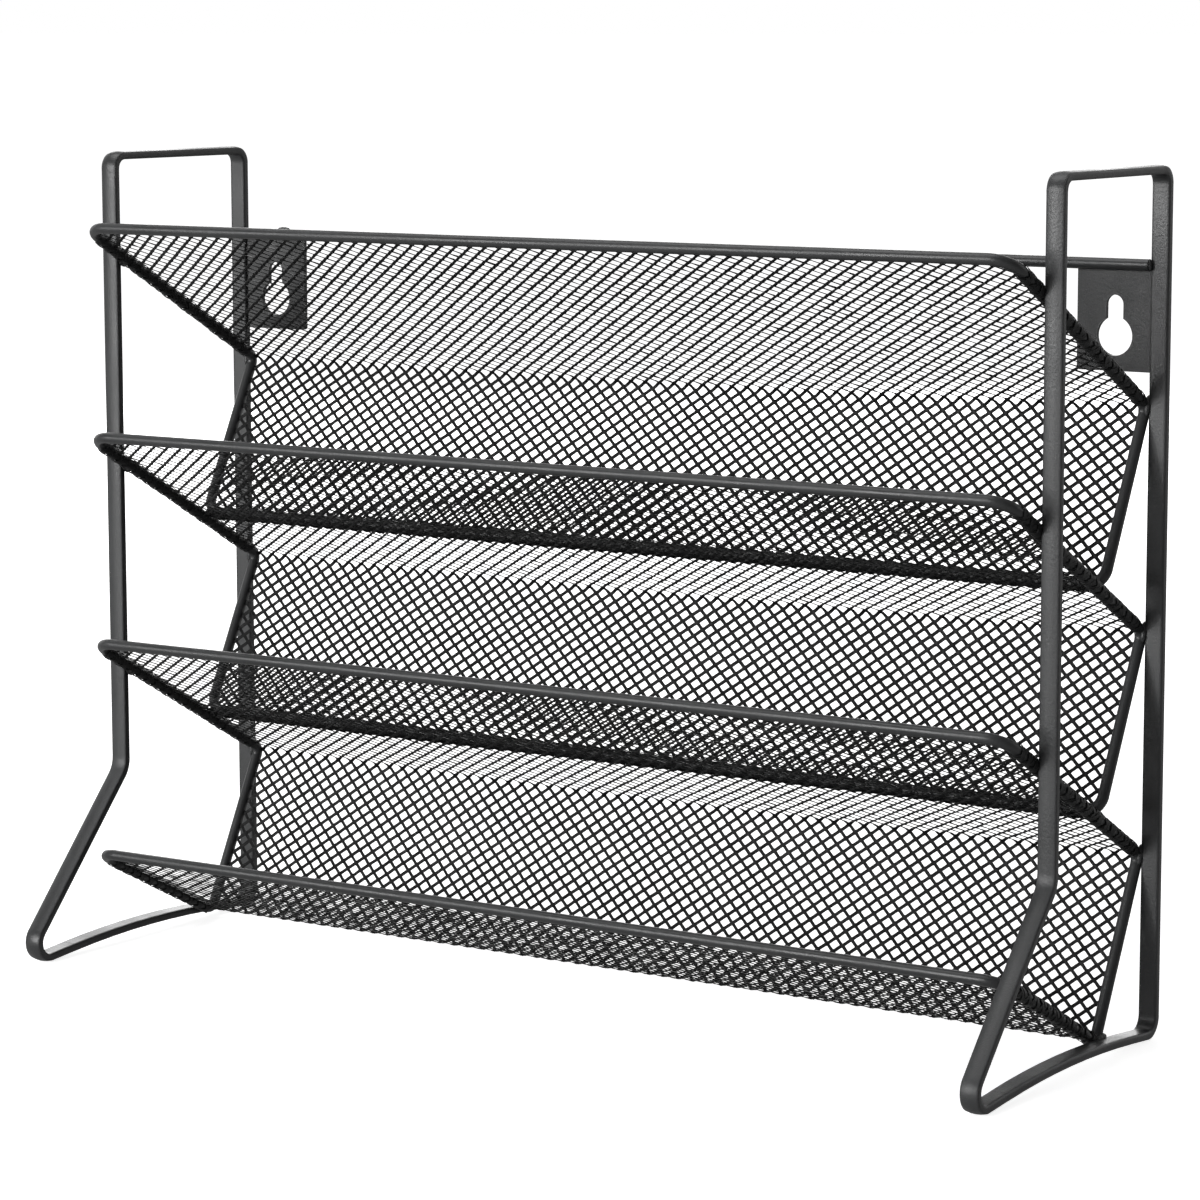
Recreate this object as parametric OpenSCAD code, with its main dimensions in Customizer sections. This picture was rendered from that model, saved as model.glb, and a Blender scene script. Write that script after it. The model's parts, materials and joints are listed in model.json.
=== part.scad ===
// Tiered mesh rack: four shallow sloping trays of expanded metal, rimmed with round wire
// and held between two flat-bar side frames. It stands on a desk on the ends of the side
// frames, or hangs on a wall from two keyhole plates.
// X runs across the rack, Y from front to back and Z up. The origin is on the desk, under
// the middle of the rack's outline.

/* [Overall] */
// Width over the two side frames
rack_w = 329.5; // [200:0.1:500]
// Depth from the toes to the wall plane
rack_d = 107.6; // [104:0.1:116]
// Height of the side frames
rack_h = 245.6; // [240:0.1:280]

/* [Side frames] */
// Width of the flat bar, across the rack
bar_w = 5.5; // [4:0.1:8]
// Thickness of the flat bar at its middle
bar_t = 2.6; // [2.5:0.1:3.5]
// Thickness of the flat bar at its edges, where the crowned outer face ends
bar_edge_t = 2.2; // [1.8:0.1:2.4]
// Distance between the outer faces of the front and the rear upright
uprights_d = 65.5; // [58:0.5:66]
// Centreline radius of the two top corners
top_corner_r = 4; // [3:0.5:12]
// Centreline radius of the toe and of the rear bottom corner
foot_corner_r = 5; // [4:0.5:7]
// Centreline radius of the bend where the front upright turns into the leg
leg_bend_r = 8; // [4:1:14]
// Height at which that bend begins
leg_bend_h = 57.8; // [52:0.1:64]
// Clearance under the middle of the arched foot bar
arch_h = 2.6; // [2:0.1:6]

/* [Trays] */
// Diameter of the rim wire and of the rear crossbar
wire_d = 3.3; // [2.8:0.1:3.4]
// Height of the top front rail
rail_h = 223.1; // [218:0.1:225]
// Height from one tray to the next
pitch = 63.4; // [62.5:0.1:64]
// Distance from the front rails back to the wall plane
rail_reach = 81.1; // [79:0.1:84]
// Distance from the wall plane forward to the line where a tray folds
fold_inset = 0.8; // [0.8:0.1:3]
// Slope of a tray's front panel below the horizontal, in degrees
front_slope = 28.9; // [28:0.1:30]
// Lean of a tray's back panel from the vertical, in degrees
back_lean = 27.2; // [26:0.1:28]
// Clearance between a back panel's foot wire and the sheet of the tray below
foot_clearance = 0.1; // [0.1:0.1:2]
// Height of the fold that joins the lowest back panel to the lowest front panel
low_fold_h = 2.8; // [2.4:0.1:5]
// Height of the lowest front rail
low_rail_h = 30.7; // [28:0.1:34]
// Centreline radius of a front rail's corners
rail_corner_r = 7; // [5:0.5:14]
// Centreline radius of the corners at the foot of a back panel
foot_wire_r = 5; // [5:0.5:8]
// Centreline radius of the rim wire where a tray folds
wire_fold_r = 3; // [2.5:0.5:4]
// Thickness of a plain sheet with as much steel in it as the expanded metal
sheet_t = 0.2; // [0.2:0.1:1]
// Radius of the sheet's mid-plane where a tray folds
sheet_fold_r = 1.5; // [1:0.5:3]

/* [Wall fixing] */
// Width of a keyhole plate
plate_w = 22.9; // [20:0.1:30]
// Thickness of a keyhole plate
plate_t = 1.5; // [0.8:0.1:2]
// Height of a keyhole plate's lower edge
plate_low_h = 188; // [186:0.1:191]
// Radius of a keyhole plate's two free corners
plate_corner_r = 1; // [0.5:0.5:3]
// Height of the rear crossbar, which lies across the plates' upper edges
crossbar_h = 217.9; // [215:0.1:220]
// Distance from a keyhole plate's outer edge to the middle of its keyhole
keyhole_inset = 11.35; // [8.5:0.05:12.5]
// Radius of a keyhole's round opening, which the screw's head passes
head_hole_r = 5.5; // [4.5:0.1:6.5]
// Height of the round opening's centre
head_hole_h = 197.8; // [196:0.1:200]
// Radius of the slot, which the screw's shank hangs in
shank_slot_r = 2.65; // [2:0.05:3.2]
// Height from the round opening's centre to the centre of the slot's closed end
slot_rise = 8.8; // [8:0.1:10]

/* [Hidden] */
$fn = 48;

frame_colour = "#3a3b3d";
wire_colour = "#323335";
mesh_colour = "#222324";
plate_colour = "#3f4042";

wall_y = rack_d / 2;
inner_x = rack_w / 2 - bar_w;
frame_x = rack_w / 2 - bar_w / 2;
keyhole_x = inner_x - keyhole_inset;

// Bars and wires are swept as straight runs and bends. The runs are thinner than
// the bends by this much all round, and reach this far into them, so that they join.
seam = 0.02;
lap = 0.05;

// Flats that make up a fold in a sheet.
fold_steps = 8;

// Radius of a sheet's cut corner and the distance of its centre from the sheet's edges,
// against the rim corner's inner radius and against the cut's radius.
cut_scale = 1.4;
inset_scale = 0.97;

wire_r = wire_d / 2;
wire_x = inner_x - wire_r;
sheet_w = 2 * (wire_x - wire_r);

// Corner points of tray k, counted from 0 at the top: front rail, fold, foot of the back.
rail_y = wall_y - rail_reach;
fold_y = wall_y - fold_inset;
fold_drop = (fold_y - rail_y) * tan(front_slope);
back_dir = [0, -sin(back_lean), -cos(back_lean)];
foot_gap = wire_r + sheet_t / 2 + foot_clearance;
back_len = (pitch * cos(front_slope) - foot_gap) / cos(front_slope - back_lean);
last_back_len = (rail_h - 2 * pitch - fold_drop - low_fold_h) / cos(back_lean);

function rail(k) = [0, rail_y, k < 3 ? rail_h - k * pitch : low_rail_h];
function fold(k) = [0, fold_y, rail_h - k * pitch - fold_drop];
function foot(k) = fold(k) + back_len * back_dir;
low_fold = fold(2) + last_back_len * back_dir;

// ---------------------------------------------------------------- swept shapes

function unit(v) = v / norm(v);

function at_x(p, x) = [x, p.y, p.z];

// How much a corner of radius r at b takes off the straight runs a-b and b-c.
function corner_trim(a, b, c, r) = r * tan(acos(unit(b - a) * unit(c - b)) / 2);

// Placement with the local axes along u, v and their cross product, at p.
function placement(u, v, p) =
    let (w = cross(u, v))
    [
        [u.x, v.x, w.x, p.x],
        [u.y, v.y, w.y, p.y],
        [u.z, v.z, w.z, p.z],
        [0, 0, 0, 1]
    ];

// A direction square to u.
function square_to(u) = unit(cross(u, abs(u.x) < 0.7 ? [1, 0, 0] : [0, 1, 0]));

// Rounds the corner a-b-c of a path: sweeps its section about the corner's centre.
module corner(a, b, c, r) {
    u = unit(b - a);
    w = unit(c - b);
    inward = unit(w - (w * u) * u);
    centre = b - corner_trim(a, b, c, r) * u + r * inward;
    multmatrix(placement(-inward, u, centre))
        rotate_extrude(angle = acos(u * w)) translate([r, 0]) children();
}

// Closed loop of round wire along points, with radii[i] at points[i].
module wire_loop(points, radii) {
    n = len(points);
    trims = [
        for (i = [0:n - 1])
            corner_trim(points[(i + n - 1) % n], points[i], points[(i + 1) % n], radii[i])
    ];
    for (i = [0:n - 1]) {
        j = (i + 1) % n;
        u = unit(points[j] - points[i]);
        run = norm(points[j] - points[i]) - trims[i] - trims[j];
        v = square_to(u);
        multmatrix(placement(v, cross(u, v), points[i] + (trims[i] - lap) * u))
            linear_extrude(run + 2 * lap) circle(wire_r - seam);
        corner(points[i], points[j], points[(j + 1) % n], radii[j]) circle(wire_r);
    }
}

// Headings and the directions to their left lie in the YZ plane.
function left_of(h) = [-sin(h), cos(h)];

function heading_from(a, b) = atan2(b.y - a.y, b.x - a.x);

// The part of a sheet's line that rounds the fold a-b-c.
function fold_line(a, b, c, distance) =
    let (
        h = heading_from(a, b),
        swing = heading_from(b, c) - h,
        turn = swing - 360 * round(swing / 360),
        side = sign(turn),
        trim = sheet_fold_r * tan(abs(turn) / 2),
        centre = b - trim * unit(b - a) + side * sheet_fold_r * left_of(h)
    )
    [
        for (i = [0:fold_steps])
            centre + (distance - side * sheet_fold_r) * left_of(h + turn * i / fold_steps)
    ];

// The line at a distance to the left of a sheet's mid-plane, along a path with a fold at
// each inner point. It stops a wire's radius short of the path's ends.
function sheet_line(path, distance) =
    let (
        last = len(path) - 1,
        h0 = heading_from(path[0], path[1]),
        h1 = heading_from(path[last - 1], path[last])
    )
    [
        path[0] + wire_r * [cos(h0), sin(h0)] + distance * left_of(h0),
        for (i = [1:last - 1])
            each fold_line(path[i - 1], path[i], path[i + 1], distance),
        path[last] - wire_r * [cos(h1), sin(h1)] + distance * left_of(h1)
    ];

// Takes off the two corners of a sheet at its free edge near a, on the run from a to b. The
// cut crosses the edges at a slight angle, inside a rim corner of inner radius r.
module corner_cutters(a, b, r) {
    u = unit(b - a);
    cut_r = cut_scale * r;
    inset = inset_scale * cut_r;
    for (side = [-1, 1])
        multmatrix(placement([side, 0, 0], u, a + (wire_r + inset) * u))
            translate([sheet_w / 2 - inset, 0, 0]) linear_extrude(4 * sheet_t, center = true)
                difference() {
                    translate([0, -2 * r]) square(2 * r);
                    circle(cut_r);
                }
}

// Sheet folded along a path, with its corners rounded at the two free edges.
module folded_sheet(path, start_r, end_r) {
    last = len(path) - 1;
    line = [for (p = path) [p.y, p.z]];
    back = sheet_line(line, -sheet_t / 2);
    difference() {
        rotate([90, 0, 90]) linear_extrude(sheet_w, center = true)
            polygon(concat(
                sheet_line(line, sheet_t / 2),
                [for (i = [len(back) - 1:-1:0]) back[i]]
            ));
        corner_cutters(path[0], path[1], start_r);
        corner_cutters(path[last], path[last - 1], end_r);
    }
}

// ---------------------------------------------------------------- side frames

foot_z = bar_t / 2 + foot_corner_r;
foot_span = wall_y - bar_t / 2 - foot_corner_r;
top_z = rack_h - bar_t / 2 - top_corner_r;
rear_y = wall_y - bar_t / 2;
front_y = wall_y - uprights_d + bar_t / 2;

// The flattest arch that still meets both foot corners, and one a little rounder.
arch_scale = 0.95;
flattest_arch_r = (foot_span * foot_span / arch_h + arch_h) / 2 - foot_corner_r;
arch_r = arch_scale * flattest_arch_r;

// Facets to a full turn, in the bar's tight bends and in the long arch.
bend_facets = 72;
arch_facets = 360;

// The bar's bends in the YZ plane, anticlockwise as seen from +X: the centre's y and z,
// the centreline radius, and 1 for a turn to the left or -1 for a turn to the right.
BENDS = [
    [rear_y - top_corner_r, top_z, top_corner_r, 1],
    [front_y + top_corner_r, top_z, top_corner_r, 1],
    [front_y - leg_bend_r, leg_bend_h, leg_bend_r, -1],
    [-foot_span, foot_z, foot_corner_r, 1],
    [0, arch_h + bar_t / 2 - arch_r, arch_r, -1],
    [foot_span, foot_z, foot_corner_r, 1]
];

// Heading of the straight run from bend a to bend b.
function heading(a, b) =
    let (d = [b[0] - a[0], b[1] - a[1]])
    atan2(d.y, d.x) + asin((a[3] * a[2] - b[3] * b[2]) / norm(d));

// Where a run with heading h touches bend b.
function touch(b, h) = [b[0], b[1]] + b[3] * b[2] * [sin(h), -cos(h)];

function whole_turn(angle) = angle - 360 * floor(angle / 360);

// Flat bar with rounded edges and a crowned outer face, on the section's +X side. It is
// smaller all round by the inset.
section_r = 0.5;
crown = bar_t - bar_edge_t;
crown_r = (bar_w * bar_w / 4 + crown * crown) / (2 * crown);
module bar_section(inset = 0) {
    intersection() {
        union() {
            square([bar_t - 2 * inset, bar_w - 2 * section_r], center = true);
            square([bar_t - 2 * section_r, bar_w - 2 * inset], center = true);
            for (x = [-1, 1], y = [-1, 1])
                translate([x * (bar_t / 2 - section_r), y * (bar_w / 2 - section_r)])
                    circle(section_r - inset);
        }
        translate([bar_t / 2 - crown_r, 0]) circle(crown_r - inset, $fn = 96);
    }
}

module side_frame(x) {
    n = len(BENDS);
    color(frame_colour)
        translate([x, 0, 0]) rotate([90, 0, 90])
            for (i = [0:n - 1]) {
                bend = BENDS[i];
                next = BENDS[(i + 1) % n];
                h_in = heading(BENDS[(i + n - 1) % n], bend);
                h_out = heading(bend, next);
                start = touch(bend, h_out);
                run = norm(touch(next, h_out) - start);
                translate([start.x, start.y, 0]) rotate([-90, 0, h_out - 90])
                    translate([0, 0, -lap]) linear_extrude(run + 2 * lap) bar_section(seam);
                left = bend[3] > 0;
                facets = bend[2] > rack_d ? arch_facets : bend_facets;
                translate([bend[0], bend[1], 0]) rotate([0, 0, left ? h_in - 90 : h_out + 90])
                    rotate_extrude(angle = whole_turn(left ? h_out - h_in : h_in - h_out), $fn = facets)
                        translate([bend[2], 0]) mirror([left ? 0 : 1, 0]) bar_section($fn = 48);
            }
}

module left_side_frame() side_frame(-frame_x);

module right_side_frame() side_frame(frame_x);

// ---------------------------------------------------------------- wall fixing

// Lies in front of the keyhole plates and ends against the rear uprights.
module rear_crossbar() {
    color(wire_colour)
        translate([-inner_x, wall_y - plate_t - wire_r, crossbar_h])
            rotate([0, 90, 0]) cylinder(h = 2 * inner_x, r = wire_r);
}

module keyhole_outline() {
    circle(head_hole_r);
    translate([-shank_slot_r, 0]) square([2 * shank_slot_r, slot_rise]);
    translate([0, slot_rise]) circle(shank_slot_r);
}

// Plate on the +X side, seen from the front, with its outer edge against the upright.
module plate_outline() {
    plate_h = crossbar_h - plate_low_h;
    difference() {
        union() {
            translate([inner_x - plate_w + plate_corner_r, plate_low_h])
                square([plate_w - plate_corner_r, plate_h]);
            translate([inner_x - plate_w, plate_low_h + plate_corner_r])
                square([plate_w, plate_h - 2 * plate_corner_r]);
            for (z = [plate_low_h + plate_corner_r, crossbar_h - plate_corner_r])
                translate([inner_x - plate_w + plate_corner_r, z]) circle(plate_corner_r);
        }
        translate([keyhole_x, head_hole_h]) keyhole_outline();
    }
}

module keyhole_plate(side) {
    color(plate_colour)
        translate([0, wall_y, 0]) rotate([90, 0, 0])
            linear_extrude(plate_t) mirror([side < 0 ? 1 : 0, 0]) plate_outline();
}

module left_keyhole_plate() keyhole_plate(-1);

module right_keyhole_plate() keyhole_plate(1);

// ---------------------------------------------------------------- trays

// Rim of tray k: front rail, sides, folds, and a wire along the foot of the back panel.
module tray_wire(k) {
    color(wire_colour)
        wire_loop(
            [
                at_x(rail(k), -wire_x), at_x(rail(k), wire_x), at_x(fold(k), wire_x),
                at_x(foot(k), wire_x), at_x(foot(k), -wire_x), at_x(fold(k), -wire_x)
            ],
            [rail_corner_r, rail_corner_r, wire_fold_r, foot_wire_r, foot_wire_r, wire_fold_r]
        );
}

module tier_1_rim_wire() tray_wire(0);

module tier_2_rim_wire() tray_wire(1);

// Rim of the two lowest trays, which are one sheet: no wire follows its lowest fold.
module tier_3_4_rim_wire() {
    color(wire_colour)
        wire_loop(
            [
                at_x(rail(2), -wire_x), at_x(rail(2), wire_x), at_x(fold(2), wire_x),
                at_x(low_fold, wire_x), at_x(rail(3), wire_x), at_x(rail(3), -wire_x),
                at_x(low_fold, -wire_x), at_x(fold(2), -wire_x)
            ],
            [
                rail_corner_r, rail_corner_r, wire_fold_r, wire_fold_r,
                rail_corner_r, rail_corner_r, wire_fold_r, wire_fold_r
            ]
        );
}

module tray_mesh(k) {
    color(mesh_colour)
        folded_sheet([rail(k), fold(k), foot(k)], rail_corner_r - wire_r, foot_wire_r - wire_r);
}

module tier_1_mesh() tray_mesh(0);

module tier_2_mesh() tray_mesh(1);

module tier_3_4_mesh() {
    rail_r = rail_corner_r - wire_r;
    color(mesh_colour) folded_sheet([rail(2), fold(2), low_fold, rail(3)], rail_r, rail_r);
}

left_side_frame();
right_side_frame();
rear_crossbar();
left_keyhole_plate();
right_keyhole_plate();
tier_1_rim_wire();
tier_2_rim_wire();
tier_3_4_rim_wire();
tier_1_mesh();
tier_2_mesh();
tier_3_4_mesh();
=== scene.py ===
"""Looks for the tiered mesh rack: expanded-metal trays, weld beads, powder coat and studio."""

import json
import math

import bpy
import numpy as np
from mathutils import Matrix, Vector


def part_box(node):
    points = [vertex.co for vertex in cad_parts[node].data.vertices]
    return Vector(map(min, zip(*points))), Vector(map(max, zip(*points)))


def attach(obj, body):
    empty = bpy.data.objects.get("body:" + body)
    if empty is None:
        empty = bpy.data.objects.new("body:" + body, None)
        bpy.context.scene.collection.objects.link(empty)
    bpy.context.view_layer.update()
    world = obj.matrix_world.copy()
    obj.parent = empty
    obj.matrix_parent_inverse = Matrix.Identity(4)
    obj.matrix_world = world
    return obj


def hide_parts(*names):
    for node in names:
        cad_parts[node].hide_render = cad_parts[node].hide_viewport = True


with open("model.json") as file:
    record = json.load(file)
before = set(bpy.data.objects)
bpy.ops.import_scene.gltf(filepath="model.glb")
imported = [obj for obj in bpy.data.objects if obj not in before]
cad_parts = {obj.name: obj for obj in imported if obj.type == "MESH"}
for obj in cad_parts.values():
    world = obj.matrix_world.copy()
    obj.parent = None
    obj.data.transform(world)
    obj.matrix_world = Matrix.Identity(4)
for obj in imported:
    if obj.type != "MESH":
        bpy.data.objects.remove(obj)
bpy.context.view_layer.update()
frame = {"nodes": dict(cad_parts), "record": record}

MM = 0.001

# Sizes of the rack that its frame's boxes don't show, in millimetres and radians.
WIRE_R = 1.65
FRONT_SLOPE = math.radians(28.9)
BACK_LEAN = math.radians(27.2)
FOLD_INSET = 0.8
LOW_FOLD_Z = 2.8
LOW_RAIL_Z = 30.7
RAIL_CORNER_R = 7.0
FOOT_CORNER_R = 5.0
SHEET_FOLD_R = 1.7
FOLD_SAG = 1.4

# The expanded metal, in millimetres and radians. Each *_SPREAD or *_JITTER is a standard
# deviation, and a width's spread is a share of that width.
CELL_ACROSS = 5.1
CELL_ALONG = 4.35
STRAND_W = 1.0
STRAND_T = 0.22
STRAND_TILT = math.radians(16)
TILT_SPREAD = math.radians(6)
BOND_LENGTH = 0.75
BOND_OVERLAP = 0.45
CORNER_JITTER = 0.035
WIDTH_SPREAD = 0.03
EDGE_MARGIN = 0.9
CUT_MARGIN = 0.15
LEAST_EDGE_GAP = 0.1
LEAST_MITRE = 0.5
FOLD_REACH = 1.6
FOLD_SPLITS = 4

# The hems, where the sheet's edge is rolled round a wire.
HEM_STRAND_W = 1.15
HEM_STRAND_T = 0.16
HEM_WIDTH_SPREAD = 0.06
HEM_CORNER_JITTER = 0.32
HEM_SAMPLE = 0.5
HEM_START = 0.5
SIDE_HEM_TURNS = 1.5
SIDE_HEM_TURNS_SPAN = 0.1
FOOT_HEM_TURNS = 1.9
HEM_GROWTH = 0.13
HEM_GROWTH_SPAN = (0.4, 1.7)
HEM_CORNER_GAP = 0.8
HEM_FOLD_GAP = 4.0
LOW_HEM_FOLD_GAP = 3.0

# Weld beads on the right-hand side, in millimetres. Each has its length, width and height,
# the offset of its centre from the joint, the direction it lies along, the direction it
# stands out in, and its share of the seed.
DOWN_SLOPE = (0, math.cos(FRONT_SLOPE), -math.sin(FRONT_SLOPE))
BEADS = {
    "under_rim": ((3.4, 1.4, 1.3), (-0.2, 0, -1.7), DOWN_SLOPE, (-1, 0, -1), -1),
    "over_rim": ((3.4, 1.4, 1.3), (-0.2, 0, 1.7), DOWN_SLOPE, (-1, 0, 1), 1),
    "fold": ((6.0, 2.0, 1.9), (-0.3, -1.6, 0.2), (0, 0.25, 1), (-1, -1, 0), 7),
    "low_fold": ((6.4, 2.6, 2.4), (0.1, -0.2, 1.4), (0, 1, 0.05), (-1, 0, 1), 3),
    "bar_end": ((3.4, 1.5, 1.5), (0.1, -0.3, 0), (0, 0, 1), (1, -1, 0), 4),
    "bar_top": ((5.0, 1.9, 1.7), (-16.0, 0.4, 1.6), (1, 0, 0), (0, 0.4, 1), 6),
    "foot": ((4.6, 2.2, 2.4), (-0.6, 0.6, 0.4), DOWN_SLOPE, (-1, 0, 0.4), 9),
}
BEAD_RINGS = 17
BEAD_POINTS = 14
BEAD_REACH = 0.985
BEAD_RIPPLE = 0.07
BEAD_RIPPLE_RATE = 14
BEAD_LUMP_SPREAD = 0.025
UPRIGHT_BEAD_SEED = 40
LOW_BEAD_SEED = 100
TIER_SEED_STEP = 20
FOOT_SEED_STEP = 3

# Part of the side frame, in millimetres, where only its front upright stands.
UPRIGHT_LOW_Z = 80
UPRIGHT_REAR_Y = 20

# Corners of a square, in order.
SQUARE = ((-1, -1), (1, -1), (1, 1), (-1, 1))

rng = np.random.default_rng(24)


# ------------------------------------------------------------------ places read off the frame

def box_mm(node):
    low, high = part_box(node)
    return np.array(low) / MM, np.array(high) / MM


wall_y = box_mm("left_side_frame")[1][1]
frame_inner_x = box_mm("right_side_frame")[0][0]
wire_x = frame_inner_x - WIRE_R
fold_y = wall_y - FOLD_INSET


def tray_path(rim_node, lowest=False):
    """Corner points of a tray in the YZ plane: front rail, fold, then the foot of its back."""
    low, high = box_mm(rim_node)
    rail = np.array([low[1] + WIRE_R, high[2] - WIRE_R])
    fold = np.array([fold_y, rail[1] - (fold_y - rail[0]) * math.tan(FRONT_SLOPE)])
    foot_z = LOW_FOLD_Z if lowest else low[2] + WIRE_R
    foot = np.array([fold_y - (fold[1] - foot_z) * math.tan(BACK_LEAN), foot_z])
    if lowest:
        return [rail, fold, foot, np.array([rail[0], LOW_RAIL_Z])]
    return [rail, fold, foot]


TRAYS = {
    "tier_1": tray_path("tier_1_rim_wire"),
    "tier_2": tray_path("tier_2_rim_wire"),
    "tier_3_4": tray_path("tier_3_4_rim_wire", lowest=True),
}


# ------------------------------------------------------------------ mesh building

class Shell:
    """Vertices and faces gathered from many small closed shapes."""

    def __init__(self):
        self.points = []
        self.faces = []
        self.count = 0

    def add(self, points, faces):
        self.points.append(np.asarray(points, float))
        self.faces.extend((np.asarray(faces) + self.count).tolist())
        self.count += len(points)

    def tube(self, rings):
        """A tube with closed ends through rings, an array of n rings of m points each."""
        n, m = rings.shape[:2]
        index = np.arange(n * m).reshape(n, m)
        a = index[:-1]
        b = index[1:]
        sides = np.stack([a, np.roll(a, -1, 1), np.roll(b, -1, 1), b], -1).reshape(-1, 4)
        base = self.count
        self.add(rings.reshape(-1, 3), sides)
        self.faces.append((index[0][::-1] + base).tolist())
        self.faces.append((index[-1] + base).tolist())

    def object(self, name, material, smooth=False):
        mesh = bpy.data.meshes.new(name)
        mesh.from_pydata(np.concatenate(self.points).tolist(), [], self.faces)
        mesh.update()
        if smooth:
            mesh.shade_smooth()
        piece = bpy.data.objects.new(name, mesh)
        bpy.context.scene.collection.objects.link(piece)
        mesh.materials.append(material)
        return piece


# ------------------------------------------------------------------ a folded sheet's surface

def heading(a, b):
    return math.atan2(b[1] - a[1], b[0] - a[0])


def left_of(h):
    return np.stack([-np.sin(h), np.cos(h)], -1)


class Sheet:
    """Maps (x, distance along the sheet, height above it) to the rack's frame, in metres.

    Each piece is (start distance, end distance, start point, heading, curvature). Between
    the side wires, the sheet sags a little at its first fold, where nothing holds it.
    """

    def __init__(self, pieces, folds=()):
        self.pieces = pieces
        self.folds = folds
        self.length = pieces[-1][1]

    def sag(self, x, s):
        if not self.folds:
            return 0.0
        next_held = (self.folds + [self.length])[1]
        slack = np.interp(s, [0, self.folds[0], next_held], [0, 1, 0])
        return FOLD_SAG * slack * (1 - (x / wire_x) ** 2)

    def place(self, x, s, lift):
        x, s, lift = np.broadcast_arrays(x, s, lift)
        y = np.zeros(s.shape)
        z = np.zeros(s.shape)
        for i, (s0, s1, start, h, bend) in enumerate(self.pieces):
            first = i == 0
            last = i == len(self.pieces) - 1
            inside = (first | (s >= s0)) & (last | (s < s1))
            d = s[inside] - s0
            turned = h + bend * d
            if bend:
                side = left_of(np.array(h)) / bend
                point = start + side - left_of(turned) / bend
            else:
                point = start + d[:, None] * np.array([math.cos(h), math.sin(h)])
            point = point + lift[inside][:, None] * left_of(turned)
            y[inside] = point[:, 0]
            z[inside] = point[:, 1]
        return np.stack([x, y, z - self.sag(x, s)], -1) * MM


def folded_sheet(path, radius=SHEET_FOLD_R):
    """The sheet of a tray, rounded at each corner of its path."""
    pieces = []
    folds = []
    at = 0.0
    start = np.array(path[0])
    for i in range(1, len(path)):
        h = heading(path[i - 1], path[i])
        end = np.array(path[i])
        turn = 0.0
        if i < len(path) - 1:
            turn = heading(path[i], path[i + 1]) - h
            turn -= 2 * math.pi * round(turn / (2 * math.pi))
        trim = radius * math.tan(abs(turn) / 2)
        along = np.array([math.cos(h), math.sin(h)])
        run = np.dot(end - trim * along - start, along)
        pieces.append((at, at + run, start, h, 0.0))
        at += run
        if turn:
            arc = radius * abs(turn)
            folds.append(at + arc / 2)
            pieces.append((at, at + arc, end - trim * along, h, math.copysign(1 / radius, turn)))
            at += arc
            start = end + trim * np.array([math.cos(h + turn), math.sin(h + turn)])
    return Sheet(pieces, folds)


def rolled_sheet(centre, towards, turns):
    """The end of a sheet rolled round a wire, from the side that faces the rest of the sheet."""
    pieces = []
    at = 0.0
    radius = WIRE_R + STRAND_T
    while turns > 0:
        arc = min(turns, 1.0) * 2 * math.pi * radius
        start = centre + radius * np.array([math.cos(towards), math.sin(towards)])
        pieces.append((at, at + arc, start, towards - math.pi / 2, -1 / radius))
        at += arc
        turns -= 1.0
        radius += HEM_GROWTH
    return Sheet(pieces)


# ------------------------------------------------------------------ expanded metal

def strand_line(s_mid, row, swing, limit, splits):
    """Corner points (x, s) of one zigzag strand, cut off at x = +-limit.

    Each run from one corner to the next is divided into splits.
    """
    half = CELL_ACROSS / 2
    count = int(limit / half) + 3
    j = np.arange(-count, count + 1)
    middle = (j + row % 2) * half
    side = np.where(j % 2 == 0, swing, -swing)
    jitter = rng.normal(0, CORNER_JITTER, (len(j), 2))
    xs = np.stack([middle - BOND_LENGTH / 2, middle + BOND_LENGTH / 2], 1) + jitter[:, :1]
    ss = np.stack([side, side], 1) + s_mid + jitter[:, 1:]
    xs = xs.ravel()
    ss = ss.ravel()
    keep = xs[np.abs(xs) < limit - CUT_MARGIN]
    at = np.concatenate([[-limit], keep, [limit]])
    if splits > 1:
        steps = np.linspace(0, 1, splits, endpoint=False)
        at = np.append((at[:-1, None] + np.diff(at)[:, None] * steps).ravel(), at[-1])
    return at, np.interp(at, xs, ss)


def strand_rings(sheet, at, s, width, thickness):
    """Rings of four points round a flat strand whose faces lean by STRAND_TILT."""
    step = np.stack([np.diff(at), np.diff(s)], 1)
    step /= np.linalg.norm(step, axis=1)[:, None]
    before = np.vstack([step[:1], step])
    after = np.vstack([step, step[-1:]])
    middle = before + after
    middle /= np.linalg.norm(middle, axis=1)[:, None]
    stretch = 1 / np.clip(np.sum(middle * after, 1), LEAST_MITRE, 1)
    across = np.stack([-middle[:, 1], middle[:, 0]], 1)
    tilt = STRAND_TILT + rng.normal(0, TILT_SPREAD, len(at))
    rings = []
    for u, v in SQUARE:
        u = u * width / 2 * stretch
        v = v * thickness / 2
        out = u * np.cos(tilt) - v * np.sin(tilt)
        lift = u * np.sin(tilt) + v * np.cos(tilt)
        rings.append(sheet.place(at + out * across[:, 0], s + out * across[:, 1], lift))
    return np.stack(rings, 1)


def side_limit(s, length, start_r, end_r):
    """How far a strand reaches to each side, inside the rounded corners of the rim wire."""
    limit = wire_x
    for d, r in ((s, start_r), (length - s, end_r)):
        if d < r:
            from_centre = r - max(d, LEAST_EDGE_GAP)
            limit = min(limit, wire_x - r + math.sqrt(r * r - from_centre ** 2))
    return limit


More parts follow.
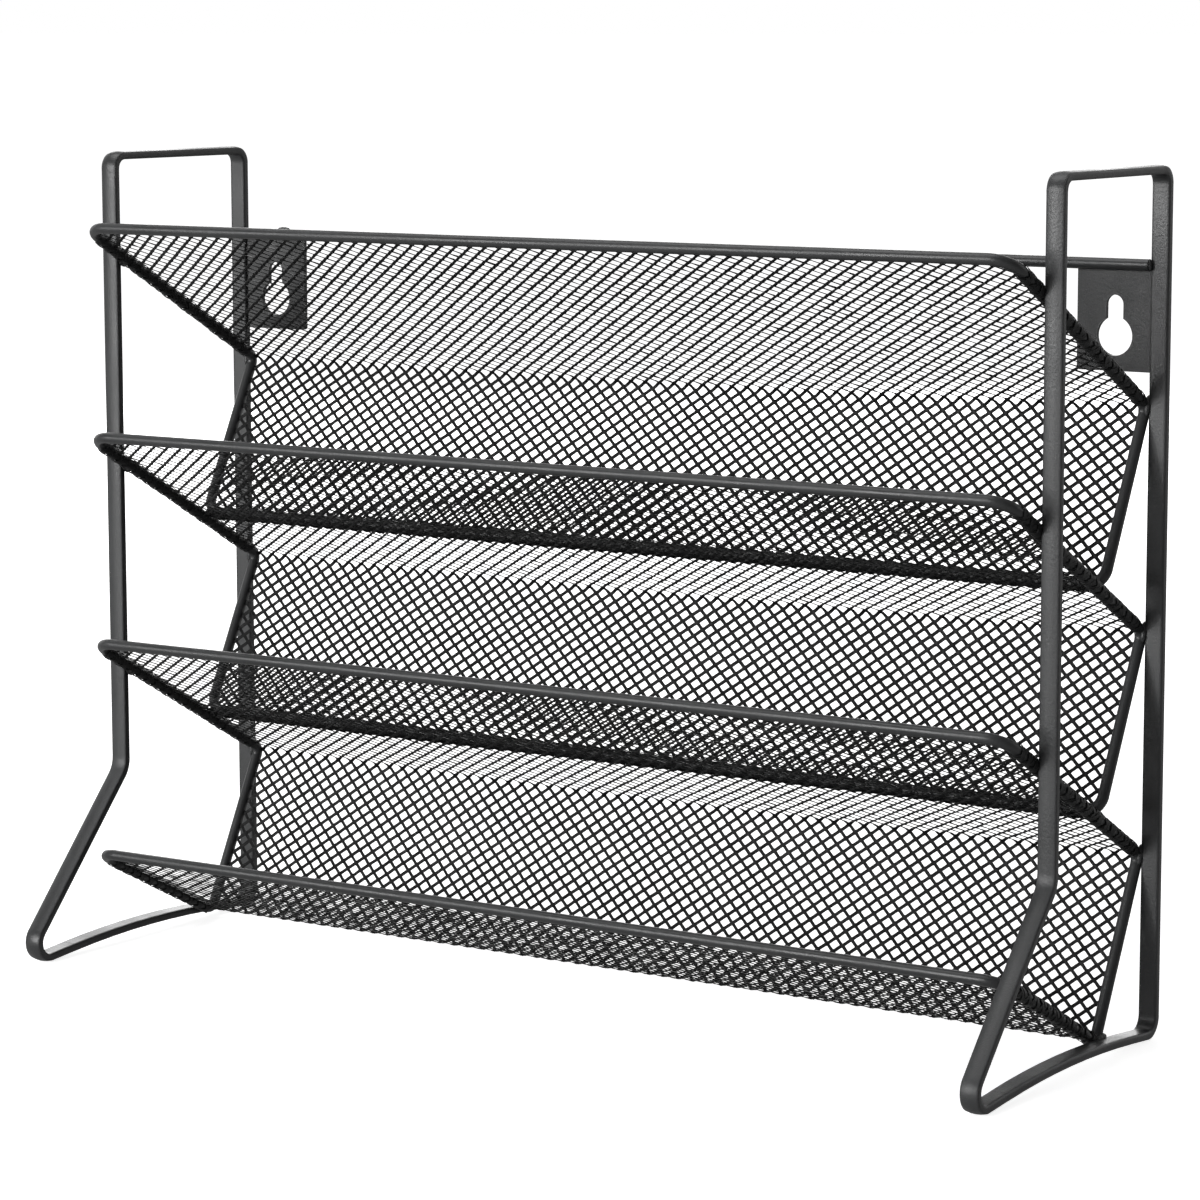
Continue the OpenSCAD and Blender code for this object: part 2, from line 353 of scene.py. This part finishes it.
def expanded_metal(name, sheet, rows, first_row, pitch, limits, material):
    """Rows of zigzag strands at distances rows along the sheet, joined at their bonds."""
    shell = Shell()
    swing = (pitch - STRAND_W * (1 - BOND_OVERLAP)) / 2
    for i, (s_mid, limit) in enumerate(zip(rows, limits)):
        near_fold = any(abs(s_mid - fold) < FOLD_REACH * pitch for fold in sheet.folds)
        splits = FOLD_SPLITS if near_fold else 1
        at, s = strand_line(s_mid, first_row + i, swing, limit, splits)
        width = STRAND_W * rng.normal(1, WIDTH_SPREAD)
        shell.tube(strand_rings(sheet, at, s, width, STRAND_T))
    return shell.object(name, material)


def tray_mesh(tier, sheet, end_r, material):
    """The pieces of one tray's expanded metal, one for each panel of the folded sheet."""
    total = round((sheet.length - 2 * EDGE_MARGIN) / (CELL_ALONG / 2)) + 1
    rows = np.linspace(EDGE_MARGIN, sheet.length - EDGE_MARGIN, total)
    pitch = rows[1] - rows[0]
    limits = [side_limit(s, sheet.length, RAIL_CORNER_R, end_r) for s in rows]
    cuts = [0] + [int(np.searchsorted(rows, fold)) for fold in sheet.folds] + [total]
    pieces = []
    for panel, low, high in zip(("front", "back", "low_front"), cuts[:-1], cuts[1:]):
        name = f"{tier}_{panel}_expanded_metal"
        piece = expanded_metal(name, sheet, rows[low:high], low, pitch, limits[low:high], material)
        pieces.append(piece)
    return pieces


# ------------------------------------------------------------------ hems round the wires

def wrapped_strand(shell, centre, along, inward, under, row):
    """One zigzag strand carried on round a wire, on a slowly growing spiral."""
    roll_r = WIRE_R + HEM_STRAND_T
    step = CELL_ACROSS / 2
    turns = SIDE_HEM_TURNS + rng.uniform(-SIDE_HEM_TURNS_SPAN, SIDE_HEM_TURNS_SPAN)
    arc = np.arange(0.0, turns * 2 * math.pi * roll_r, HEM_SAMPLE)
    knots = np.arange(-1, arc[-1] / step + 2)
    swing = np.where((knots + row) % 2 == 0, 1.0, -1.0) * CELL_ALONG / 4
    shift = np.interp(arc, knots * step, swing + rng.normal(0, HEM_CORNER_JITTER, len(knots)))
    slope = np.gradient(shift, arc)
    angle = arc / roll_r
    radius = roll_r + (HEM_GROWTH * angle / (2 * math.pi)) * rng.uniform(*HEM_GROWTH_SPAN)
    outward = np.cos(angle)[:, None] * inward + np.sin(angle)[:, None] * under
    onward = np.cos(angle)[:, None] * under - np.sin(angle)[:, None] * inward
    across = along - slope[:, None] * onward
    across /= np.linalg.norm(across, axis=1)[:, None]
    middle = centre + shift[:, None] * along
    width = HEM_STRAND_W * rng.normal(1, HEM_WIDTH_SPREAD)
    rings = []
    for u, v in SQUARE:
        lift = radius + v * HEM_STRAND_T / 2
        rings.append(middle + across * (u * width / 2) + outward * lift[:, None])
    shell.tube(np.stack(rings, 1) * MM)


def side_hems(name, sheet, s_low, s_high, material):
    """The sheet's edges rolled round both side wires of a panel, between s_low and s_high."""
    shell = Shell()
    x_axis = np.array([1.0, 0.0, 0.0])
    for side in (-1, 1):
        for row, s in enumerate(np.arange(s_low, s_high, CELL_ALONG / 2)):
            centre = sheet.place(side * wire_x, s, 0) / MM
            ahead = sheet.place(side * wire_x, s + HEM_SAMPLE, 0) / MM
            above = sheet.place(side * wire_x, s, 1) / MM
            along = (ahead - centre) / np.linalg.norm(ahead - centre)
            wrapped_strand(shell, centre, along, -side * x_axis, centre - above, row)
    return shell.object(name, material)


def foot_hem(name, path, material):
    """The end of a back panel rolled round the wire along its foot."""
    roll = rolled_sheet(path[-1], heading(path[-1], path[-2]), FOOT_HEM_TURNS)
    rows = np.arange(HEM_START, roll.length, CELL_ALONG / 2)
    limits = np.full(len(rows), wire_x - FOOT_CORNER_R)
    return expanded_metal(name, roll, rows, 0, CELL_ALONG / 2, limits, material)


# ------------------------------------------------------------------ weld beads

def add_bead(shell, kind, side, joint, seed):
    """A lumpy bead: a flattened, rippled ellipsoid. The left side mirrors the right."""
    (length, width, height), offset, along, out, own_seed = BEADS[kind]
    noise = np.random.default_rng(seed + own_seed)
    mirror = np.array([side, 1, 1])
    centre = mirror * (np.array(joint) + offset)
    along = np.array(along, float) / np.linalg.norm(along)
    out = mirror * np.array(out, float)
    out = out - along * np.dot(out, along)
    out /= np.linalg.norm(out)
    across = np.cross(along, out)
    ripple = noise.uniform(0, 6.28)
    turn = np.linspace(0, 2 * math.pi, BEAD_POINTS, endpoint=False)
    rings = []
    for t in np.linspace(-BEAD_REACH, BEAD_REACH, BEAD_RINGS):
        swell = math.sqrt(1 - t * t) * (1 + BEAD_RIPPLE * math.sin(BEAD_RIPPLE_RATE * t + ripple))
        lump = 1 + noise.normal(0, BEAD_LUMP_SPREAD, BEAD_POINTS)
        ring = (
            centre
            + along * (t * length / 2)
            + np.outer(np.cos(turn) * lump * swell * width / 2, across)
            + np.outer(np.sin(turn) * lump * swell * height / 2, out)
        )
        rings.append(ring)
    shell.tube(np.stack(rings) * MM)


def front_upright_y():
    """Middle of the front upright, found from the side frame's vertices."""
    mesh = frame["nodes"]["left_side_frame"].data
    points = np.array([v.co for v in mesh.vertices]) / MM
    upper = points[(points[:, 2] > UPRIGHT_LOW_Z) & (points[:, 1] < UPRIGHT_REAR_Y)]
    return (upper[:, 1].min() + upper[:, 1].max()) / 2


def rim_height(path, y):
    """Height of a front panel's side wire at a place between the rail and the fold."""
    rail, fold = path[0], path[1]
    return rail[1] + (fold[1] - rail[1]) * (y - rail[0]) / (fold[0] - rail[0])


def upright_beads(shell, side, post_y, seed):
    """Beads between each rim and the uprights of one side frame."""
    for number, path in enumerate(TRAYS.values()):
        tier_seed = seed + TIER_SEED_STEP * number
        post = [frame_inner_x, post_y, rim_height(path, post_y)]
        add_bead(shell, "under_rim", side, post, tier_seed)
        add_bead(shell, "over_rim", side, post, tier_seed)
        add_bead(shell, "fold", side, [frame_inner_x, *path[1]], tier_seed)


def low_and_bar_beads(shell, side, seed):
    """Beads on the lowest fold and on the rear crossbar."""
    add_bead(shell, "low_fold", side, [frame_inner_x, *TRAYS["tier_3_4"][2]], seed)
    bar_low, bar_high = box_mm("rear_crossbar")
    bar_end = [frame_inner_x, *((bar_low + bar_high) / 2)[1:]]
    add_bead(shell, "bar_end", side, bar_end, seed)
    if side < 0:
        add_bead(shell, "bar_top", side, bar_end, seed)


def foot_beads(shell, side, seed):
    """Beads between the foot of each upper tray and the rim below it."""
    for number, (tier, tier_below) in enumerate((("tier_1", "tier_2"), ("tier_2", "tier_3_4"))):
        y, z = TRAYS[tier][2]
        z_below = rim_height(TRAYS[tier_below], y)
        joint = [wire_x, y, (z_below + z) / 2]
        add_bead(shell, "foot", side, joint, seed + FOOT_SEED_STEP * number)


def weld_beads(material):
    """The beads of each side of the rack."""
    post_y = front_upright_y()
    pieces = []
    for side, name in ((-1, "left"), (1, "right")):
        shell = Shell()
        upright_beads(shell, side, post_y, UPRIGHT_BEAD_SEED + side)
        low_and_bar_beads(shell, side, LOW_BEAD_SEED + side)
        foot_beads(shell, side, LOW_BEAD_SEED + side)
        pieces.append(shell.object(f"{name}_weld_beads", material, smooth=True))
    return pieces


# ------------------------------------------------------------------ materials

def node_of(tree, kind, inputs=None, **settings):
    """A new node. Each input is linked where it is given a socket, and set otherwise."""
    node = tree.nodes.new(kind)
    for key, value in settings.items():
        setattr(node, key, value)
    for key, value in (inputs or {}).items():
        if isinstance(value, bpy.types.NodeSocket):
            tree.links.new(value, node.inputs[key])
        else:
            node.inputs[key].default_value = value
    return node


def ramp(tree, value, low, high, start=0.0, end=1.0):
    """Maps value from low..high to start..end, clamped and smooth."""
    node = node_of(
        tree, "ShaderNodeMapRange",
        {"Value": value, "From Min": low, "From Max": high, "To Min": start, "To Max": end},
        interpolation_type="SMOOTHSTEP",
    )
    return node.outputs["Result"]


def noise(tree, place, scale, detail=2.0, rough=0.5):
    node = node_of(
        tree, "ShaderNodeTexNoise",
        {"Vector": place, "Scale": scale, "Detail": detail, "Roughness": rough},
    )
    return node.outputs["Fac"]


def math_node(tree, operation, a, b):
    node = node_of(tree, "ShaderNodeMath", {0: a, 1: b}, operation=operation)
    return node.outputs[0]


def mix_colour(tree, share, a, b):
    node = node_of(tree, "ShaderNodeMix", {0: share, 6: a, 7: b}, data_type="RGBA")
    return node.outputs[2]


def grey(value, tint=0.0):
    """A near-neutral colour: a positive tint is slightly blue."""
    return (value * (1 - tint), value, value * (1 + tint), 1.0)


def edge_mask(tree, radius):
    """1 on convex and concave edges within about a radius, from the bevelled normal."""
    bevel = node_of(tree, "ShaderNodeBevel", {"Radius": radius}, samples=4)
    true = node_of(tree, "ShaderNodeNewGeometry")
    dot = node_of(
        tree, "ShaderNodeVectorMath",
        {0: bevel.outputs[0], 1: true.outputs["True Normal"]}, operation="DOT_PRODUCT",
    )
    return ramp(tree, dot.outputs["Value"], 0.995, 0.88)


# Noise scales of the powder coat, per metre, and the brightness of metal worn through it, which
# along the plate's edges also serves as a painted highlight.
BLOTCH_SCALE = 55.0
PATCH_SCALE = 160.0
SCUFF_SCALE = 420.0
PEEL_SCALE = 1500.0
FLECK_SCALE = 4200.0
GRIT_SCALE = 5200.0
WORN_AND_HIGHLIGHT_GREY = 0.20

# How much the flecks brighten the coat, wear polishes it and the grit adds to the peel,
# and the bump's strength and its depth in metres.
FLECK_SHARE = 0.35
WORN_POLISH = 0.12
GRIT_SHARE = 0.35
BUMP_STRENGTH = 0.30
BUMP_DEPTH = 0.0002


def powder_coat(name, base, rough, peel=1.0, specular=0.5, edge_radius=0.0, wear_and_highlight=0.35, soften=0.0):
    """Satin powder coat: orange peel, fine flecks, soft blotches and light wear on edges. Strong
    edge wear, as on the plate, is a painted highlight along the edges.

    The coat rounds the edges under it, over a radius of soften.
    """
    material = bpy.data.materials.new(name)
    material.use_nodes = True
    tree = material.node_tree
    shader = tree.nodes["Principled BSDF"]
    place = node_of(tree, "ShaderNodeTexCoord").outputs["Object"]
    blotch = noise(tree, place, BLOTCH_SCALE, 3.0)
    fleck = ramp(tree, noise(tree, place, FLECK_SCALE, 1.0), 0.66, 0.78)
    patch = ramp(tree, noise(tree, place, PATCH_SCALE, 4.0, 0.65), 0.46, 0.66)
    colour = mix_colour(tree, blotch, grey(base * 0.78, 0.02), grey(base * 1.22, 0.03))
    bright = math_node(tree, "MULTIPLY", fleck, FLECK_SHARE)
    colour = mix_colour(tree, bright, colour, grey(base * 3.2, 0.02))
    roughness = ramp(tree, blotch, 0.3, 0.7, rough - 0.06, rough + 0.07)
    # Lighter metal on edges and scuffs: real wear, and on the plate, where the share is high, a
    # painted highlight along its edges.
    if edge_radius:
        worn_and_highlight = math_node(tree, "MULTIPLY", edge_mask(tree, edge_radius), patch)
    else:
        scuffs = ramp(tree, noise(tree, place, SCUFF_SCALE, 5.0, 0.7), 0.60, 0.72)
        worn_and_highlight = math_node(tree, "MULTIPLY", scuffs, patch)
    worn_and_highlight = math_node(tree, "MULTIPLY", worn_and_highlight, wear_and_highlight)
    colour = mix_colour(tree, worn_and_highlight, colour, grey(WORN_AND_HIGHLIGHT_GREY))
    tree.links.new(colour, shader.inputs["Base Color"])
    polish = math_node(tree, "MULTIPLY", worn_and_highlight, WORN_POLISH)
    roughness = math_node(tree, "SUBTRACT", roughness, polish)
    tree.links.new(roughness, shader.inputs["Roughness"])
    shader.inputs["Specular IOR Level"].default_value = specular
    orange_peel = noise(tree, place, PEEL_SCALE, 2.0)
    grit = noise(tree, place, GRIT_SCALE, 2.0)
    height = math_node(tree, "ADD", orange_peel, math_node(tree, "MULTIPLY", grit, GRIT_SHARE))
    bump = node_of(
        tree, "ShaderNodeBump",
        {"Height": height, "Strength": BUMP_STRENGTH * peel, "Distance": BUMP_DEPTH},
    )
    if soften:
        rounded = node_of(tree, "ShaderNodeBevel", {"Radius": soften}, samples=6)
        tree.links.new(rounded.outputs[0], bump.inputs["Normal"])
    tree.links.new(bump.outputs["Normal"], shader.inputs["Normal"])
    return material


# The floor's brightness to the camera, near the rack and far off, and to other rays.
FLOOR_SEEN = 0.88
FLOOR_UNSEEN = 0.22
FLOOR_GLOW_NEAR = 0.84
FLOOR_GLOW_FAR = 1.0
FLOOR_GLOW_MIRRORED = 0.25
FLOOR_NEAR = 0.25
FLOOR_FAR = 1.2


def floor_material():
    """Pale matt floor, white to the camera, that throws little light up at the rack."""
    material = bpy.data.materials.new("pale_floor")
    material.use_nodes = True
    tree = material.node_tree
    shader = tree.nodes["Principled BSDF"]
    rays = node_of(tree, "ShaderNodeLightPath")
    seen = rays.outputs["Is Camera Ray"]
    place = node_of(tree, "ShaderNodeTexCoord").outputs["Object"]
    away = node_of(tree, "ShaderNodeVectorMath", {0: place}, operation="LENGTH").outputs["Value"]
    colour = mix_colour(tree, seen, grey(FLOOR_UNSEEN), grey(FLOOR_SEEN))
    tree.links.new(colour, shader.inputs["Base Color"])
    shader.inputs["Roughness"].default_value = 0.9
    shader.inputs["Specular IOR Level"].default_value = 0.0
    shader.inputs["Emission Color"].default_value = grey(1.0)
    glow = ramp(tree, away, FLOOR_NEAR, FLOOR_FAR, FLOOR_GLOW_NEAR, FLOOR_GLOW_FAR)
    glow = math_node(tree, "MULTIPLY", seen, glow)
    mirrored = math_node(tree, "MULTIPLY", rays.outputs["Is Glossy Ray"], FLOOR_GLOW_MIRRORED)
    glow = math_node(tree, "MAXIMUM", glow, mirrored)
    tree.links.new(glow, shader.inputs["Emission Strength"])
    return material


FINISHES = {
    "frame_bar": powder_coat(
        "frame_powder_coat", 0.046, 0.37, edge_radius=0.0006, wear_and_highlight=0.45, soften=0.0011
    ),
    "rim_wire": powder_coat("wire_powder_coat", 0.038, 0.36, wear_and_highlight=0.25),
    # The plate's high edge share paints a highlight along its edges.
    "plate": powder_coat("plate_powder_coat", 0.033, 0.46, edge_radius=0.0006, wear_and_highlight=0.9),
    "expanded_mesh": powder_coat("mesh_powder_coat", 0.006, 0.5, peel=0.7, specular=0.16, wear_and_highlight=0.12),
    "hem": powder_coat("hem_powder_coat", 0.014, 0.45, peel=0.9, specular=0.32, wear_and_highlight=0.2),
    "weld": powder_coat("weld_powder_coat", 0.034, 0.42, peel=1.6, wear_and_highlight=0.3),
}


def paint_cad_nodes():
    """Gives each CAD node that stays in view the finish of its material slot."""
    slots = {row["node"]: row["material_slot"] for row in frame["record"]["subparts"]}
    for name, obj in frame["nodes"].items():
        obj.data.materials.clear()
        obj.data.materials.append(FINISHES[slots[name]])


# ------------------------------------------------------------------ assembly

def finish_piece(piece):
    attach(piece, "root")


def build_trays():
    mesh = FINISHES["expanded_mesh"]
    hem = FINISHES["hem"]
    from_rail = RAIL_CORNER_R + HEM_CORNER_GAP
    for tier, path in TRAYS.items():
        lowest = len(path) == 4
        sheet = folded_sheet(path)
        pieces = tray_mesh(tier, sheet, RAIL_CORNER_R if lowest else FOOT_CORNER_R, mesh)
        for piece in pieces:
            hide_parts(f"{tier}_mesh")
        to_fold = sheet.folds[0] - HEM_FOLD_GAP
        pieces.append(side_hems(f"{tier}_side_hems", sheet, from_rail, to_fold, hem))
        if lowest:
            from_fold = sheet.folds[1] + LOW_HEM_FOLD_GAP
            to_rail = sheet.length - from_rail
            pieces.append(side_hems(f"{tier}_low_side_hems", sheet, from_fold, to_rail, hem))
        else:
            pieces.append(foot_hem(f"{tier}_foot_hem", path, hem))
        for piece in pieces:
            finish_piece(piece)


def build_welds():
    for piece in weld_beads(FINISHES["weld"]):
        finish_piece(piece)


# ------------------------------------------------------------------ studio

# The camera, in metres, radians and millimetres of lens.
CAMERA_AT = Vector((0.66315, -0.97797, 0.2855))
CAMERA_YAW = math.radians(33.71)
CAMERA_PITCH = math.radians(8.05)
CAMERA_ROLL = math.radians(-0.1)
CAMERA_LENS = 123.38
CAMERA_SENSOR = 36.0
CAMERA_REACH = 200.0

# Softboxes: place, width and height in metres, and power in watts. They face LIT_POINT.
SOFTBOXES = {
    "front_softbox": ((-0.75, -2.0, 0.52), 1.9, 1.0, 33.0),
    "strip_light": ((-0.95, -1.9, 0.40), 0.20, 0.8, 6.0),
    "top_softbox": ((-0.6, -0.2, 2.2), 1.6, 1.6, 20.0),
    "left_fill": ((-2.0, 0.4, 0.7), 1.2, 1.2, 5.0),
    "rear_softbox": ((-1.2, 1.5, 0.55), 1.4, 0.9, 12.0),
}
LIT_POINT = Vector((0.0, 0.0, 0.12))

# The world's brightness in front of the rack, and where in reflections it turns white.
WORLD_DIM = 0.11
WHITE_FROM = 0.3
WHITE_TO = 0.75

# Half the floor's side and its depth under the feet, in metres.
FLOOR_HALF = 60.0
FLOOR_DEPTH = 0.0002


def add_camera():
    data = bpy.data.cameras.new("camera")
    data.sensor_width = CAMERA_SENSOR
    data.lens = CAMERA_LENS
    data.clip_end = CAMERA_REACH
    camera = bpy.data.objects.new("camera", data)
    turn = Matrix.Rotation(CAMERA_YAW, 4, "Z") @ Matrix.Rotation(math.pi / 2 - CAMERA_PITCH, 4, "X")
    camera.matrix_world = Matrix.Translation(CAMERA_AT) @ turn @ Matrix.Rotation(CAMERA_ROLL, 4, "Z")
    bpy.context.scene.collection.objects.link(camera)
    bpy.context.scene.camera = camera


def add_softbox(name, at, width, height, power):
    data = bpy.data.lights.new(name, "AREA")
    data.shape = "RECTANGLE"
    data.size = width
    data.size_y = height
    data.energy = power
    light = bpy.data.objects.new(name, data)
    light.location = at
    light.rotation_euler = (LIT_POINT - Vector(at)).to_track_quat("-Z", "Y").to_euler()
    bpy.context.scene.collection.objects.link(light)


def add_backdrop():
    """White all round to the camera; in reflections, white only behind the rack."""
    world = bpy.data.worlds.new("studio")
    bpy.context.scene.world = world
    world.use_nodes = True
    tree = world.node_tree
    rays = node_of(tree, "ShaderNodeLightPath")
    place = node_of(tree, "ShaderNodeTexCoord").outputs["Generated"]
    behind = node_of(tree, "ShaderNodeSeparateXYZ", {0: place}).outputs["Y"]
    white = ramp(tree, behind, WHITE_FROM, WHITE_TO)
    white = math_node(tree, "MULTIPLY", rays.outputs["Is Glossy Ray"], white)
    level = math_node(tree, "MAXIMUM", white, WORLD_DIM)
    level = math_node(tree, "MAXIMUM", level, rays.outputs["Is Camera Ray"])
    tree.links.new(level, tree.nodes["Background"].inputs["Strength"])
    tree.nodes["Background"].inputs["Color"].default_value = grey(1.0)


def add_studio():
    shell = Shell()
    points = [(x * FLOOR_HALF, y * FLOOR_HALF, -FLOOR_DEPTH) for x, y in SQUARE]
    shell.add(points, [(0, 1, 2, 3)])
    shell.object("floor", floor_material())
    for name, (at, width, height, power) in SOFTBOXES.items():
        add_softbox(name, at, width, height, power)
    add_backdrop()
    bpy.context.scene.view_settings.view_transform = "Standard"


paint_cad_nodes()
build_trays()
build_welds()
add_camera()
add_studio()
